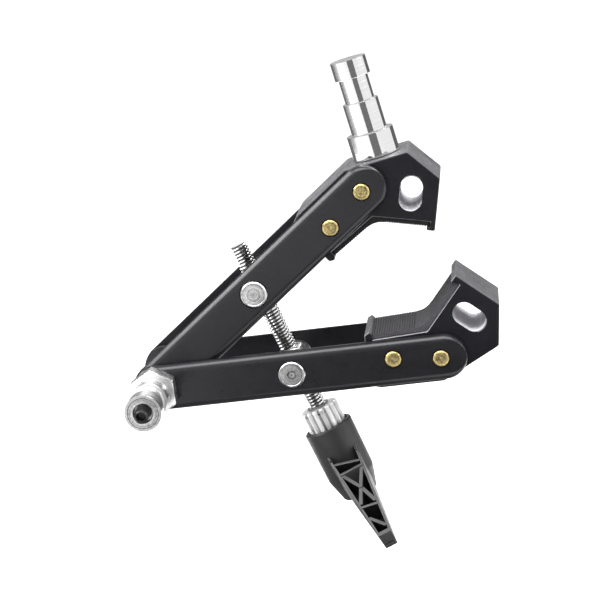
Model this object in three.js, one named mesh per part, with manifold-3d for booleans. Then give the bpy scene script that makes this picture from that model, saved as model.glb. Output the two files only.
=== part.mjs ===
// A super clamp for stands, pipes and table edges, modelled at rest with its jaws part open.
// Millimetres, +Z up. The hinge axis is Y and passes through the origin, which lies on the
// shoulder of the hinge stud, where a stand's socket stops when it holds the clamp.
// The lower arm runs along +X and stays still. The upper arm swings about the hinge.
// The hinge stud points along -Y.

import * as THREE from "three";
import { mergeVertices } from "three/addons/utils/BufferGeometryUtils.js";
import Module from "manifold-3d";

const manifold = await Module();
manifold.setup();

const degree = Math.PI / 180;
const quarterTurn = Math.PI / 2;

// Clearances that every fit shares
const seatGap = 0.25;
const runningGap = 0.3;
const overrun = 3;

// Arms: two flat bars each, with a round end at the hinge and at the jaw
const openAngle = 37.04 * degree;
const pivotToTrunnion = 60.9;
const pivotToOuterRivet = 126.7;
const rivetSpacing = 20.75;
const innerRivetRise = 2;
const barHeight = 19.5;
const barThickness = 4;
const barEdgeRadius = 1.5;
const barEndPastRivet = 2.6;

// Jaw castings, held between the bars
const jawWidth = 36;
const heelBeforeInnerRivet = 11.65;
const jawProudOfBar = 1.6;
const jawHeelLength = 4.5;
const jawHeelDepth = 1.3;
const innerLipThickness = 3.5;
const innerLipRise = 3.6;
const innerLipSlope = 1.2;
const padSeatAboveBar = 0.75;
const bendBeforeOuterRivet = 4.7;
const vBendRise = 1.1;
const padSlopeAngle = 49.3 * degree;
const padSlopeLength = 25.2;
const outerLipThickness = 2.3;
const outerLipRise = 3.9;
const endFaceLength = 23.2;
const endEdgeLength = 18.4;
const endEdgeTilt = 7 * degree;
const landTilt = 27.1 * degree;
const jawEdgeRadius = 0.8;

// The slot through each jaw lies parallel to the end face
const slotLength = 15.4;
const slotWidth = 10;
const slotFromEndFace = 11.9;
const slotFromLipTip = 15.4;

// Rubber pads, ribbed across the jaw
const padThickness = 2.3;
const ribPitch = 2.2;
const ribDepth = 0.6;
const ribTopShare = 0.55;

// Rivets
const rivetShankRadius = 2.5;
const rivetHeadRadius = 3.6;
const rivetHeadHeight = 1.1;
const rivetRimHeight = 0.45;
const rivetDimpleRadius = 0.9;
const rivetDimpleDepth = 0.3;

// The 16 mm studs
const studRadius = 8;
const studNeckRadius = 6.55;
const studCapLength = 8.2;
const studNeckLength = 10.9;
const studEdgeChamfer = 0.6;
const topStudMidLength = 14;
const topStudCollarRadius = 10.5;
const topStudCollarLength = 11;
const topStudFromEndEdge = 14.2;
const studScrewRadius = 4;
const studScrewLength = 21;
const hingeStudMidLength = 11.9;
const hingeHexFlats = 19;
const hingeHexLength = 8;
const grubRecessRadius = 4.2;
const grubRecessDepth = 3;
const grubRadius = 3.17;
const grubTipRadius = 2.3;
const grubTipChamfer = 1.4;
const grubProud = 6;
const grubEngagement = 12;
const grubSocketFlats = 3.2;
const grubSocketDepth = 3;

// Hinge
const hingeBoltRadius = 4;
const hingeBoltEngagement = 14;
const hingeBoltHeadFlats = 13;
const hingeBoltHeadLength = 5;
const hingeWasherRadius = 8;
const hingeWasherThickness = 1.6;
const hingeSleeveRadius = 6.5;

// Trunnions: a cross shaft through both bars with a barrel round the spindle
const trunnionRadius = 5.75;
const trunnionProud = 0.6;
const trunnionChamfer = 0.5;
const barrelRadius = 6.6;
const barrelLength = 15;

// Spindle
const spindleRadius = 4;
const threadPitch = 1.5;
const threadDepth = 0.8;
const threadSteps = 10;
const spindleAboveLowerTrunnion = 59;
const spindleTipChamfer = 0.8;
const hubTopBelowTrunnion = 23;
const spindleInHub = 13;
const thrustWasherRadius = 6;
const thrustWasherThickness = 1.1;

// Splined hub
const hubRadius = 8.8;
const splineCount = 16;
const splineDepth = 1;
const splineCrestShares = [0.14, 0.36, 0.64, 0.86];
const hubLength = 27.5;
const hubChamfer = 1.4;
const hubTapRadius = 2.8;
const hubTapDepth = 10;

// Lever handle: a cup over the hub, with a hollow lever ribbed on its underside
const cupRimBelowHubTop = 9.6;
const cupRadius = 11.2;
const cupShoulderRadius = 10.9;
const cupFootRadius = 7.75;
const cupStraightLength = 24.7;
const cupConeLength = 10.2;
const cupRimRound = 0.8;
const splineZoneLength = 6.2;
const cupFloorThickness = 2.2;
const springChamberRadius = 5.9;
const leverAzimuth = 11.1 * degree;
const leverReach = 65;
const leverRootReach = 7;
const leverUndersideDrop = 9.9;
const leverUndersideSlope = 0.46;
const leverTopDrop = 26.5;
const leverTopSlope = 0.325;
const leverRootHalfWidth = 7.3;
const leverTipHalfWidth = 3.1;
const leverDraft = 1.15;
const leverEndRake = 3.6;
const pocketStart = 12;
const pocketEnd = 63;
const pocketRootHalfWidth = 5.4;
const pocketTipHalfWidth = 2.2;
const pocketDepth = 6.5;
const pocketDraftShare = 0.94;

// Lever screw and spring, inside the cup
const leverScrewRadius = 2.5;
const leverScrewHeadRadius = 4.8;
const leverScrewHeadLength = 3;
const leverScrewRecess = 0.8;
const leverScrewSocketFlats = 4;
const springWireRadius = 0.4;
const springTurns = 4;
const springMeanRadius = 4.4;

// How finely round shapes are cut
const barEndSteps = 10;
const fineSides = 32;
const sides = 24;
const coarseSides = 16;

// Places that several pieces share
const armWidth = jawWidth + 2 * (seatGap + barThickness);
const armShift = (barThickness + runningGap) / 2;
const innerRivetReach = pivotToOuterRivet - rivetSpacing;
const jawInnerReach = innerRivetReach - heelBeforeInnerRivet;
const vBendReach = pivotToOuterRivet - bendBeforeOuterRivet;
const bushRadius = trunnionRadius + runningGap;
const landLow = -(barHeight / 2 + jawProudOfBar);
const padSeatHeight = barHeight / 2 + padSeatAboveBar;
const spindleLean = openAngle / 2;
const hubTop = -hubTopBelowTrunnion;
const cupRim = hubTop - cupRimBelowHubTop;
const hubFoot = hubTop - hubLength;
const cupFloorTop = hubFoot - runningGap;
const cupFloorUnder = cupFloorTop - cupFloorThickness;
const cupFoot = cupRim - cupStraightLength - cupConeLength;
const lowerFront = -armShift - armWidth / 2;
const lowerBackInner = -armShift + jawWidth / 2 + seatGap;
const upperFrontInner = armShift - jawWidth / 2 - seatGap;
const upperBack = armShift + armWidth / 2;

// Materials
function finish(colour, roughness, metalness) {
  return new THREE.MeshStandardMaterial({ color: colour, roughness, metalness });
}
const blackCoat = finish(0x26262a, 0.42, 0.2);
const blackCasting = finish(0x2b2b2e, 0.6, 0.2);
const rubber = finish(0x3a3a3d, 0.9, 0);
const polishedAlloy = finish(0xe2e2e4, 0.16, 1);
const turnedSteel = finish(0xc9c9cb, 0.32, 1);
const zincPlate = finish(0xb4b4b6, 0.28, 1);
const brass = finish(0xcfae62, 0.3, 1);
const blackOxide = finish(0x2a2a2b, 0.45, 0.7);
const blackPlastic = finish(0x333337, 0.48, 0);
const blackNylon = finish(0x1c1c1d, 0.6, 0);

// Solid helpers

// Joins equal corners and drops triangles that have closed up at a pole.
function weld(geometry) {
  const bare = geometry.clone();
  bare.deleteAttribute("normal");
  bare.deleteAttribute("uv");
  const merged = mergeVertices(bare);
  const corners = merged.index.array;
  const kept = [];
  for (let i = 0; i < corners.length; i += 3) {
    const [a, b, c] = [corners[i], corners[i + 1], corners[i + 2]];
    if (a !== b && b !== c && c !== a) kept.push(a, b, c);
  }
  merged.setIndex(kept);
  return merged;
}

function solidOf(geometry) {
  const welded = weld(geometry);
  const vertProperties = new Float32Array(welded.attributes.position.array);
  const triVerts = new Uint32Array(welded.index.array);
  return new manifold.Manifold(new manifold.Mesh({ numProp: 3, vertProperties, triVerts }));
}

function geometryOf(solid) {
  const mesh = solid.getMesh();
  const geometry = new THREE.BufferGeometry();
  geometry.setAttribute("position", new THREE.BufferAttribute(mesh.vertProperties, 3));
  geometry.setIndex(new THREE.BufferAttribute(mesh.triVerts, 1));
  geometry.computeVertexNormals();
  return geometry;
}

function cut(body, ...tools) {
  let solid = solidOf(body);
  for (const tool of tools) solid = solid.subtract(solidOf(tool));
  return geometryOf(solid);
}

function join(body, ...others) {
  let solid = solidOf(body);
  for (const other of others) solid = solid.add(solidOf(other));
  return geometryOf(solid);
}

function overlapOf(body, other) {
  return geometryOf(solidOf(body).intersect(solidOf(other)));
}

// Shape helpers

// A flat piece with its outline in X and Z and its thickness along Y.
function plate(outline, yFrom, yTo, edge = 0, edgeSteps = 2) {
  const shape = outline instanceof THREE.Shape ? outline : new THREE.Shape(outline);
  const geometry = new THREE.ExtrudeGeometry(shape, {
    depth: yTo - yFrom - 2 * edge,
    bevelEnabled: edge > 0,
    bevelThickness: edge,
    bevelSize: edge,
    bevelOffset: -edge,
    bevelSegments: edgeSteps,
    curveSegments: barEndSteps,
  });
  geometry.rotateX(quarterTurn);
  geometry.translate(0, yTo - edge, 0);
  return geometry;
}

// A round piece along Y.
function crossRod(radius, yFrom, yTo, x = 0, z = 0, count = sides) {
  const geometry = new THREE.CylinderGeometry(radius, radius, yTo - yFrom, count);
  geometry.translate(x, (yFrom + yTo) / 2, z);
  return geometry;
}

// A round piece along Z.
function uprightRod(radius, zFrom, zTo, count = sides) {
  const geometry = new THREE.CylinderGeometry(radius, radius, zTo - zFrom, count);
  geometry.rotateX(quarterTurn);
  geometry.translate(0, 0, (zFrom + zTo) / 2);
  return geometry;
}

// A turned piece about Z, from pairs of radius and height that start and end on the axis.
function turned(profile, count = sides) {
  const points = profile.map(([radius, height]) => new THREE.Vector2(radius, height));
  if (THREE.ShapeUtils.isClockWise(points)) points.reverse();
  const geometry = new THREE.LatheGeometry(points, count);
  geometry.rotateX(quarterTurn);
  return geometry;
}

// A hexagonal prism about Z, measured across its flats.
function hexPrism(flats, zFrom, zTo) {
  return uprightRod(flats / Math.sqrt(3), zFrom, zTo, 6);
}

function point(x, z) {
  return new THREE.Vector2(x, z);
}

function named(name, geometry, material) {
  const piece = new THREE.Mesh(geometry, material);
  piece.name = name;
  return piece;
}

// Arms

function barOutline() {
  const half = barHeight / 2;
  const outline = new THREE.Shape();
  outline.absarc(0, 0, half, quarterTurn, 3 * quarterTurn, false);
  outline.absarc(pivotToOuterRivet + barEndPastRivet, 0, half, -quarterTurn, quarterTurn, false);
  return outline;
}

// Side is +1 where the jaw's inside faces +Z, as on the lower arm, and -1 on the upper arm.
function sideBar(side, outerY, innerY) {
  const [yFrom, yTo] = outerY < innerY ? [outerY, innerY] : [innerY, outerY];
  const [cutFrom, cutTo] = [yFrom - overrun, yTo + overrun];
  const rivetHole = rivetShankRadius + seatGap;
  return cut(
    plate(barOutline(), yFrom, yTo, barEdgeRadius),
    crossRod(hingeBoltRadius + runningGap, cutFrom, cutTo),
    crossRod(bushRadius, cutFrom, cutTo, pivotToTrunnion),
    crossRod(rivetHole, cutFrom, cutTo, innerRivetReach, side * innerRivetRise, coarseSides),
    crossRod(rivetHole, cutFrom, cutTo, pivotToOuterRivet, 0, coarseSides),
  );
}

// Corners of the jaw in the arm's own frame, with the pad on the +Z side.
function jawCorners() {
  const slope = point(Math.cos(padSlopeAngle), Math.sin(padSlopeAngle));
  const outward = point(slope.y, -slope.x);
  const bend = point(vBendReach, padSeatHeight + vBendRise);
  const seatEnd = bend.clone().addScaledVector(slope, padSlopeLength);
  const lipInner = seatEnd.clone().addScaledVector(outward, -outerLipRise);
  const lipTip = lipInner.clone().addScaledVector(slope, outerLipThickness);
  const endCorner = lipTip.clone().addScaledVector(outward, endFaceLength);
  const endEdge = point(-Math.sin(endEdgeTilt), -Math.cos(endEdgeTilt));
  const landOuter = endCorner.clone().addScaledVector(endEdge, endEdgeLength);
  const landRun = (landOuter.y - landLow) / Math.tan(landTilt);
  const landInner = point(landOuter.x - landRun, landLow);
  const lipFoot = point(jawInnerReach + innerLipThickness, padSeatHeight);
  return { slope, outward, bend, seatEnd, lipInner, lipTip, endCorner, landOuter, landInner, lipFoot };
}
const jaw = jawCorners();

function jawOutline() {
  const lipTop = padSeatHeight + innerLipRise;
  return [
    point(jawInnerReach, landLow + jawHeelDepth),
    point(jawInnerReach + jawHeelLength, landLow),
    jaw.landInner,
    jaw.landOuter,
    jaw.endCorner,
    jaw.lipTip,
    jaw.lipInner,
    jaw.seatEnd,
    jaw.bend,
    jaw.lipFoot,
    point(jawInnerReach + innerLipThickness, lipTop - innerLipSlope),
    point(jawInnerReach + innerLipThickness - innerLipSlope, lipTop),
    point(jawInnerReach, lipTop - innerLipSlope),
  ];
}

function slotShape() {
  const middle = jaw.lipTip.clone();
  middle.addScaledVector(jaw.outward, slotFromLipTip);
  middle.addScaledVector(jaw.slope, -slotFromEndFace);
  const half = slotWidth / 2;
  const reach = (slotLength - slotWidth) / 2;
  const start = Math.atan2(jaw.slope.y, jaw.slope.x);
  const near = middle.clone().addScaledVector(jaw.outward, -reach);
  const far = middle.clone().addScaledVector(jaw.outward, reach);
  const shape = new THREE.Shape();
  shape.absarc(near.x, near.y, half, start, start + Math.PI, false);
  shape.absarc(far.x, far.y, half, start + Math.PI, start + 2 * Math.PI, false);
  return shape;
}

// Turns a jaw made for the lower arm into the upper arm's, pad side down.
function flipped(geometry, side) {
  if (side > 0) return geometry;
  const turnedOver = geometry.clone();
  turnedOver.rotateX(Math.PI);
  return turnedOver;
}

// The middle of the stud's seat on the jaw's outer land, in the lower arm's frame.
function studSeat() {
  const along = point(-Math.cos(landTilt), -Math.sin(landTilt));
  return jaw.landOuter.clone().addScaledVector(along, topStudFromEndEdge);
}

// Puts a piece made about Z on the upper jaw's land, pointing outward.
function onLand(geometry) {
  const seat = studSeat();
  geometry.rotateY(landTilt);
  geometry.translate(seat.x, 0, -seat.y);
  return geometry;
}

function jawCasting(side) {
  const half = jawWidth / 2;
  const rivetHole = rivetShankRadius + seatGap;
  const body = cut(
    plate(jawOutline(), -half, half, jawEdgeRadius, 1),
    plate(slotShape(), -half - overrun, half + overrun),
    crossRod(rivetHole, -half - overrun, half + overrun, innerRivetReach, innerRivetRise, coarseSides),
    crossRod(rivetHole, -half - overrun, half + overrun, pivotToOuterRivet, 0, coarseSides),
  );
  const casting = flipped(body, side);
  if (side > 0) return casting;
  const screwDepth = studScrewLength / 2 + seatGap;
  return cut(casting, onLand(uprightRod(studScrewRadius + seatGap, -screwDepth, overrun, coarseSides)));
}

// Rib tops and grooves from one end of a straight stretch of pad to the other.
function ribs(from, to, normal) {
  const run = to.clone().sub(from);
  const count = Math.max(1, Math.round(run.length() / ribPitch));
  const points = [];
  for (let i = 0; i < count; i++) {
    const start = from.clone().addScaledVector(run, i / count);
    const end = from.clone().addScaledVector(run, (i + ribTopShare) / count);
    const groove = from.clone().addScaledVector(run, (i + (1 + ribTopShare) / 2) / count);
    points.push(start, end, groove.addScaledVector(normal, -ribDepth));
  }
  points[points.length - 1] = to.clone();
  return points;
}

function jawPad(side) {
  const flat = jaw.bend.clone().sub(jaw.lipFoot).normalize();
  const flatNormal = point(-flat.y, flat.x);
  const slopeNormal = jaw.outward.clone().negate();
  const miter = flatNormal.clone().add(slopeNormal).normalize();
  const miterReach = 1 / miter.dot(flatNormal);
  const start = jaw.lipFoot.clone().addScaledVector(flat, seatGap);
  const end = jaw.seatEnd.clone().addScaledVector(jaw.slope, -seatGap);
  const lift = (p, normal, height) => p.clone().addScaledVector(normal, height);
  const underside = [
    lift(start, flatNormal, seatGap),
    lift(jaw.bend, miter, seatGap * miterReach),
    lift(end, slopeNormal, seatGap),
  ];
  const top = [
    lift(start, flatNormal, padThickness),
    lift(jaw.bend, miter, padThickness * miterReach),
    lift(end, slopeNormal, padThickness),
  ];
  const outline = [
    ...underside,
    ...ribs(top[0], top[1], flatNormal).concat(ribs(top[1], top[2], slopeNormal)).reverse(),
  ];
  return flipped(plate(outline, -jawWidth / 2, jawWidth / 2), side);
}

// One rivet along Y, with a domed head at each end.
function rivet() {
  const seat = armWidth / 2 + seatGap;
  const head = (end) => [
    [rivetHeadRadius, end * seat],
    [rivetHeadRadius, end * (seat + rivetRimHeight)],
    [rivetHeadRadius - rivetRimHeight, end * (seat + rivetHeadHeight - rivetRimHeight / 2)],
    [rivetDimpleRadius, end * (seat + rivetHeadHeight)],
    [0, end * (seat + rivetHeadHeight - rivetDimpleDepth)],
  ];
  const shank = [[rivetShankRadius, -seat], [rivetShankRadius, seat]];
  const geometry = turned([...head(-1).reverse(), ...shank, ...head(1)], coarseSides);
  geometry.rotateX(quarterTurn);
  return geometry;
}

function innerRivet(side) {
  return rivet().translate(innerRivetReach, 0, side * innerRivetRise);
}

function outerRivet() {
  return rivet().translate(pivotToOuterRivet, 0, 0);
}

// Studs

// The cap, neck and middle of a 16 mm stud, as radius and height from the middle's foot up.
function spigotProfile(foot, midLength) {
  const neckFoot = foot + midLength;
  const capFoot = neckFoot + studNeckLength;
  const top = capFoot + studCapLength;
  return [
    [studRadius, foot],
    [studRadius, neckFoot - studEdgeChamfer],
    [studRadius - studEdgeChamfer, neckFoot],
    [studNeckRadius, neckFoot],
    [studNeckRadius, capFoot],
    [studRadius, capFoot],
    [studRadius, top - studEdgeChamfer],
    [studRadius - studEdgeChamfer, top],
    [0, top],
  ];
}
const hingeStudLength = hingeHexLength + hingeStudMidLength + studNeckLength + studCapLength;

function topStud() {
  const foot = seatGap;
  const collarTop = foot + topStudCollarLength;
  const body = turned([
    [0, foot],
    [topStudCollarRadius - studEdgeChamfer, foot],
    [topStudCollarRadius, foot + studEdgeChamfer],
    [topStudCollarRadius, collarTop - studEdgeChamfer],
    [topStudCollarRadius - studEdgeChamfer, collarTop],
    ...spigotProfile(collarTop, topStudMidLength),
  ], fineSides);
  const screwDepth = studScrewLength / 2 + seatGap;
  return onLand(cut(body, uprightRod(studScrewRadius + seatGap, -overrun, screwDepth, coarseSides)));
}

function topStudScrew() {
  return onLand(uprightRod(studScrewRadius, -studScrewLength / 2, studScrewLength / 2, coarseSides));
}

// Turns a piece made about Z to point out of the clamp's front, with its foot at a given Y.
function towardsFront(geometry, footY) {
  geometry.rotateX(quarterTurn);
  geometry.translate(0, footY, 0);
  return geometry;
}
const hingeStudFoot = lowerFront - seatGap;

function hingeStud() {
  const corner = hingeHexFlats / Math.sqrt(3);
  const flat = hingeHexFlats / 2;
  const rounding = corner - flat;
  const hex = overlapOf(hexPrism(hingeHexFlats, 0, hingeHexLength), turned([
    [0, 0],
    [flat, 0],
    [corner, rounding / 2],
    [corner, hingeHexLength - rounding / 2],
    [flat, hingeHexLength],
    [0, hingeHexLength],
  ]));
  const spigotFoot = hingeHexLength / 2;
  const spigot = turned([
    [0, spigotFoot],
    ...spigotProfile(spigotFoot, hingeStudMidLength + hingeHexLength / 2),
  ], fineSides);
  const grubFoot = hingeStudLength - grubRecessDepth - grubEngagement - seatGap;
  return towardsFront(cut(
    join(hex, spigot),
    uprightRod(hingeBoltRadius + seatGap, -overrun, hingeBoltEngagement + seatGap, coarseSides),
    uprightRod(grubRadius + seatGap, grubFoot, hingeStudLength, coarseSides),
    uprightRod(grubRecessRadius, hingeStudLength - grubRecessDepth, hingeStudLength + overrun),
  ), hingeStudFoot);
}

function grubScrew() {
  const foot = hingeStudLength - grubRecessDepth - grubEngagement;
  const tip = hingeStudLength + grubProud;
  const body = turned([
    [0, foot],
    [grubRadius, foot],
    [grubRadius, tip - grubTipChamfer],
    [grubTipRadius, tip],
    [0, tip],
  ], coarseSides);
  const socket = hexPrism(grubSocketFlats, tip - grubSocketDepth, tip + overrun);
  return towardsFront(cut(body, socket), hingeStudFoot);
}

// Hinge

function hingeBolt() {
  const frontEnd = hingeStudFoot - hingeBoltEngagement;
  const headSeat = upperBack + hingeWasherThickness + 2 * seatGap;
  const shank = crossRod(hingeBoltRadius, frontEnd, headSeat + hingeBoltHeadLength / 2, 0, 0, coarseSides);
  const head = hexPrism(hingeBoltHeadFlats, 0, hingeBoltHeadLength);
  head.rotateX(-quarterTurn);
  head.translate(0, headSeat, 0);
  return join(head, shank);
}

function ring(outerRadius, innerRadius, yFrom, yTo, count = sides) {
  return cut(
    crossRod(outerRadius, yFrom, yTo, 0, 0, count),
    crossRod(innerRadius, yFrom - overrun, yTo + overrun, 0, 0, count),
  );
}

function hingeWasher() {
  const seat = upperBack + seatGap;
  return ring(hingeWasherRadius, hingeBoltRadius + seatGap, seat, seat + hingeWasherThickness);
}

function hingeSleeve() {
  const [from, to] = [upperFrontInner + runningGap, lowerBackInner - runningGap];
  return ring(hingeSleeveRadius, hingeBoltRadius + seatGap, from, to);
}

// Trunnions. Each is made about its own axis, with the barrel leaning along the spindle.

// The shaft is centred on its arm, and the barrel on the spindle.
function trunnion(centreY, lean) {
  const half = armWidth / 2 + trunnionProud;
  const profile = [
    [0, -half],
    [trunnionRadius - trunnionChamfer, -half],
    [trunnionRadius, -half + trunnionChamfer],
    [trunnionRadius, half - trunnionChamfer],
    [trunnionRadius - trunnionChamfer, half],
    [0, half],
  ];
  const shaft = turned(profile);
  shaft.rotateX(quarterTurn);
  shaft.translate(0, centreY, 0);
  const barrel = uprightRod(barrelRadius, -barrelLength / 2, barrelLength / 2);
  const bore = uprightRod(spindleRadius + runningGap, -barrelLength, barrelLength);
  barrel.rotateY(-lean);
  bore.rotateY(-lean);
  return cut(join(shaft, barrel), bore);
}

// Spindle, made about Z with its origin at the lower trunnion

// One unbroken right-hand thread: crest and root lines wind up the rod and close on the axis.
function threadBody(zFrom, zTo) {
  const steps = Math.ceil(((zTo - zFrom) / threadPitch + 2) * threadSteps);
  const rise = threadPitch / threadSteps;
  const base = zFrom - threadPitch;
  const corners = [];
  const faces = [];
  const crest = (n) => 2 * n;
  const root = (n) => 2 * n + 1;
  for (let n = 0; n <= steps; n++) {
    const angle = (2 * Math.PI * n) / threadSteps;
    const height = base + n * rise;
    const rootRadius = spindleRadius - threadDepth;
    corners.push(spindleRadius * Math.cos(angle), spindleRadius * Math.sin(angle), height);
    corners.push(rootRadius * Math.cos(angle), rootRadius * Math.sin(angle), height + threadPitch / 2);
  }
  for (let n = 0; n < steps; n++) {
    faces.push(crest(n), crest(n + 1), root(n + 1), crest(n), root(n + 1), root(n));
  }
  for (let n = 0; n < steps - threadSteps; n++) {
    const up = n + threadSteps;
    faces.push(root(n), root(n + 1), crest(up + 1), root(n), crest(up + 1), crest(up));
  }
  const foot = corners.length / 3;
  const top = foot + 1;
  const lastTurn = steps - threadSteps;
  corners.push(0, 0, base - threadPitch, 0, 0, base + steps * rise + 2 * threadPitch);
  for (let n = 0; n < threadSteps; n++) {
    faces.push(foot, crest(n + 1), crest(n));
    faces.push(top, root(lastTurn + n), root(lastTurn + n + 1));
  }
  faces.push(foot, crest(0), root(0), foot, root(0), crest(threadSteps));
  faces.push(top, root(steps), crest(steps), top, crest(steps), root(lastTurn));
  const geometry = new THREE.BufferGeometry();
  geometry.setAttribute("position", new THREE.Float32BufferAttribute(corners, 3));
  geometry.setIndex(faces);
  return geometry;
}

function spindle() {
  const tip = spindleAboveLowerTrunnion;
  const thread = threadBody(hubTop, tip);
  const envelope = turned([
    [0, hubTop],
    [spindleRadius + seatGap, hubTop],
    [spindleRadius + seatGap, tip - spindleTipChamfer - seatGap],
    [spindleRadius - spindleTipChamfer, tip],
    [0, tip],
  ]);
  const tail = uprightRod(spindleRadius - threadDepth, hubTop - spindleInHub, hubTop + threadPitch, coarseSides);
  return join(overlapOf(thread, envelope), tail);
}

function thrustWasher() {
  const from = hubTop + seatGap;
  return cut(
    uprightRod(thrustWasherRadius, from, from + thrustWasherThickness),
    uprightRod(spindleRadius + runningGap, from - overrun, from + overrun),
  );
}

// The outline of a splined bar, as crests and valleys round the axis.
function splineOutline(crestRadius) {
  const valleyRadius = crestRadius - splineDepth;
  const outline = [];
  for (let tooth = 0; tooth < splineCount; tooth++) {
    splineCrestShares.forEach((share, i) => {
      const radius = i === 1 || i === 2 ? crestRadius : valleyRadius;
      const angle = (2 * Math.PI * (tooth + share)) / splineCount;
      outline.push(point(radius * Math.cos(angle), radius * Math.sin(angle)));
    });
  }
  return outline;
}

function splinedBar(crestRadius, zFrom, zTo) {
  const shape = new THREE.Shape(splineOutline(crestRadius));
  const geometry = new THREE.ExtrudeGeometry(shape, { depth: zTo - zFrom, bevelEnabled: false });
  geometry.translate(0, 0, zFrom);
  return geometry;
}

function splinedHub() {
  const envelope = turned([
    [0, hubFoot],
    [hubRadius + seatGap, hubFoot],
    [hubRadius + seatGap, hubTop - hubChamfer],
    [hubRadius - hubChamfer, hubTop],
    [0, hubTop],
  ]);
  const boreFoot = hubTop - spindleInHub - seatGap;
  return cut(
    overlapOf(splinedBar(hubRadius, hubFoot, hubTop), envelope),
    uprightRod(spindleRadius - threadDepth + seatGap, boreFoot, hubTop + overrun, coarseSides),
    uprightRod(hubTapRadius, hubFoot - overrun, hubFoot + hubTapDepth, coarseSides),
  );
}

// Lever handle

// A convex block from eight corners, four at its root and four at its tip.
function block(corners) {
  const geometry = new THREE.BoxGeometry(1, 1, 1);
  const position = geometry.attributes.position;
  for (let i = 0; i < position.count; i++) {
    const far = position.getX(i) > 0 ? 1 : 0;
    const right = position.getY(i) > 0 ? 1 : 0;
    const high = position.getZ(i) > 0 ? 1 : 0;
    position.setXYZ(i, ...corners(far, right, high));
  }
  return geometry;
}

const leverUndersideAt = (reach) => cupRim - leverUndersideDrop - reach * leverUndersideSlope;
const leverTopAt = (reach) => cupRim - leverTopDrop - reach * leverTopSlope;

function leverBlock() {
  return block((far, right, high) => {
    const reach = far ? leverReach - (high ? 0 : leverEndRake) : leverRootReach;
    const half = (far ? leverTipHalfWidth : leverRootHalfWidth) + (high ? 0 : leverDraft / 2);
    return [reach, right ? half : -half, high ? leverUndersideAt(reach) : leverTopAt(reach)];
  });
}

// Pockets between the ribs, as shares of the way along the lever and of its half width.
const pocketShares = [
  [[0, -0.86], [0, 1], [0.12, 1], [0.02, -0.9]],
  [[0.08, -1], [0.2, 1], [0.2, -1]],
  [[0.227, -0.68], [0.227, 0.68], [0.4, 0]],
  [[0.27, -1], [0.43, -0.22], [0.62, -1]],
  [[0.27, 1], [0.62, 1], [0.43, 0.22]],
  [[0.485, 0], [0.675, -0.85], [0.675, 0.85]],
  [[0.715, -1], [0.715, 1], [0.965, 0.85], [0.815, -1]],
  [[0.865, -1], [1, 0.3], [1, -1]],
];

// A pocket sinks from the underside along Z and narrows a little towards its floor.
function pocketBlock(shares) {
  const corners = shares.map(([along, across]) => {
    const reach = pocketStart + along * (pocketEnd - pocketStart);
    const half = pocketRootHalfWidth + along * (pocketTipHalfWidth - pocketRootHalfWidth);
    return point(reach, across * half);
  });
  const middle = corners.reduce((sum, c) => sum.add(c), point(0, 0)).divideScalar(corners.length);
  const geometry = new THREE.ExtrudeGeometry(new THREE.Shape(corners), { depth: 1, bevelEnabled: false });
  const position = geometry.attributes.position;
  for (let i = 0; i < position.count; i++) {
    const high = position.getZ(i) > 1 / 2;
    const [x, y] = [position.getX(i), position.getY(i)];
    const under = leverUndersideAt(x);
    if (high) {
      position.setXYZ(i, x, y, under + overrun);
    } else {
      const shrunk = point(x, y).sub(middle).multiplyScalar(pocketDraftShare).add(middle);
      position.setXYZ(i, shrunk.x, shrunk.y, under - pocketDepth);
    }
  }
  return geometry;
}

function cupBody() {
  const shoulder = cupRim - cupStraightLength;
  return turned([
    [0, cupRim],
    [cupRadius - cupRimRound, cupRim],
    [cupRadius, cupRim - cupRimRound],
    [cupShoulderRadius, shoulder],
    [cupFootRadius, cupFoot],
    [0, cupFoot],
  ], fineSides);
}

function leverHandle() {
  const lever = cut(leverBlock(), ...pocketShares.map(pocketBlock));
  lever.rotateZ(leverAzimuth - quarterTurn);
  const splineTop = hubFoot + splineZoneLength;
  return cut(
    join(cupBody(), lever),
    uprightRod(hubRadius + 2 * runningGap, splineTop, cupRim + overrun, sides),
    splinedBar(hubRadius + runningGap, cupFloorTop, splineTop + overrun),
    uprightRod(leverScrewRadius + runningGap, cupFloorUnder - overrun, cupFloorTop + overrun, coarseSides),
    uprightRod(springChamberRadius, cupFoot - overrun, cupFloorUnder),
  );
}

function leverScrew() {
  const headFoot = cupFoot + leverScrewRecess;
  const headTop = headFoot + leverScrewHeadLength;
  const shankTop = hubFoot + hubTapDepth - seatGap;
  const body = turned([
    [0, headFoot],
    [leverScrewHeadRadius, headFoot],
    [leverScrewHeadRadius, headTop],
    [leverScrewRadius, headTop],
    [leverScrewRadius, shankTop],
    [0, shankTop],
  ], coarseSides);
  return cut(body, hexPrism(leverScrewSocketFlats, headFoot - overrun, headFoot + leverScrewHeadLength / 2));
}

// The spring's middle line, from the screw's head up to the cup's floor.
class SpringLine extends THREE.Curve {
  getPoint(share, target = new THREE.Vector3()) {
    const foot = cupFoot + leverScrewRecess + leverScrewHeadLength + seatGap + springWireRadius;
    const top = cupFloorUnder - seatGap - springWireRadius;
    const angle = 2 * Math.PI * springTurns * share;
    const height = foot + share * (top - foot);
    return target.set(springMeanRadius * Math.cos(angle), springMeanRadius * Math.sin(angle), height);
  }
}

function leverSpring() {
  const wire = new THREE.Shape();
  wire.absarc(0, 0, springWireRadius, 0, 2 * Math.PI, false);
  return new THREE.ExtrudeGeometry(wire, {
    steps: springTurns * 8,
    curveSegments: 5,
    extrudePath: new SpringLine(),
  });
}

// Assembly

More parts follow.
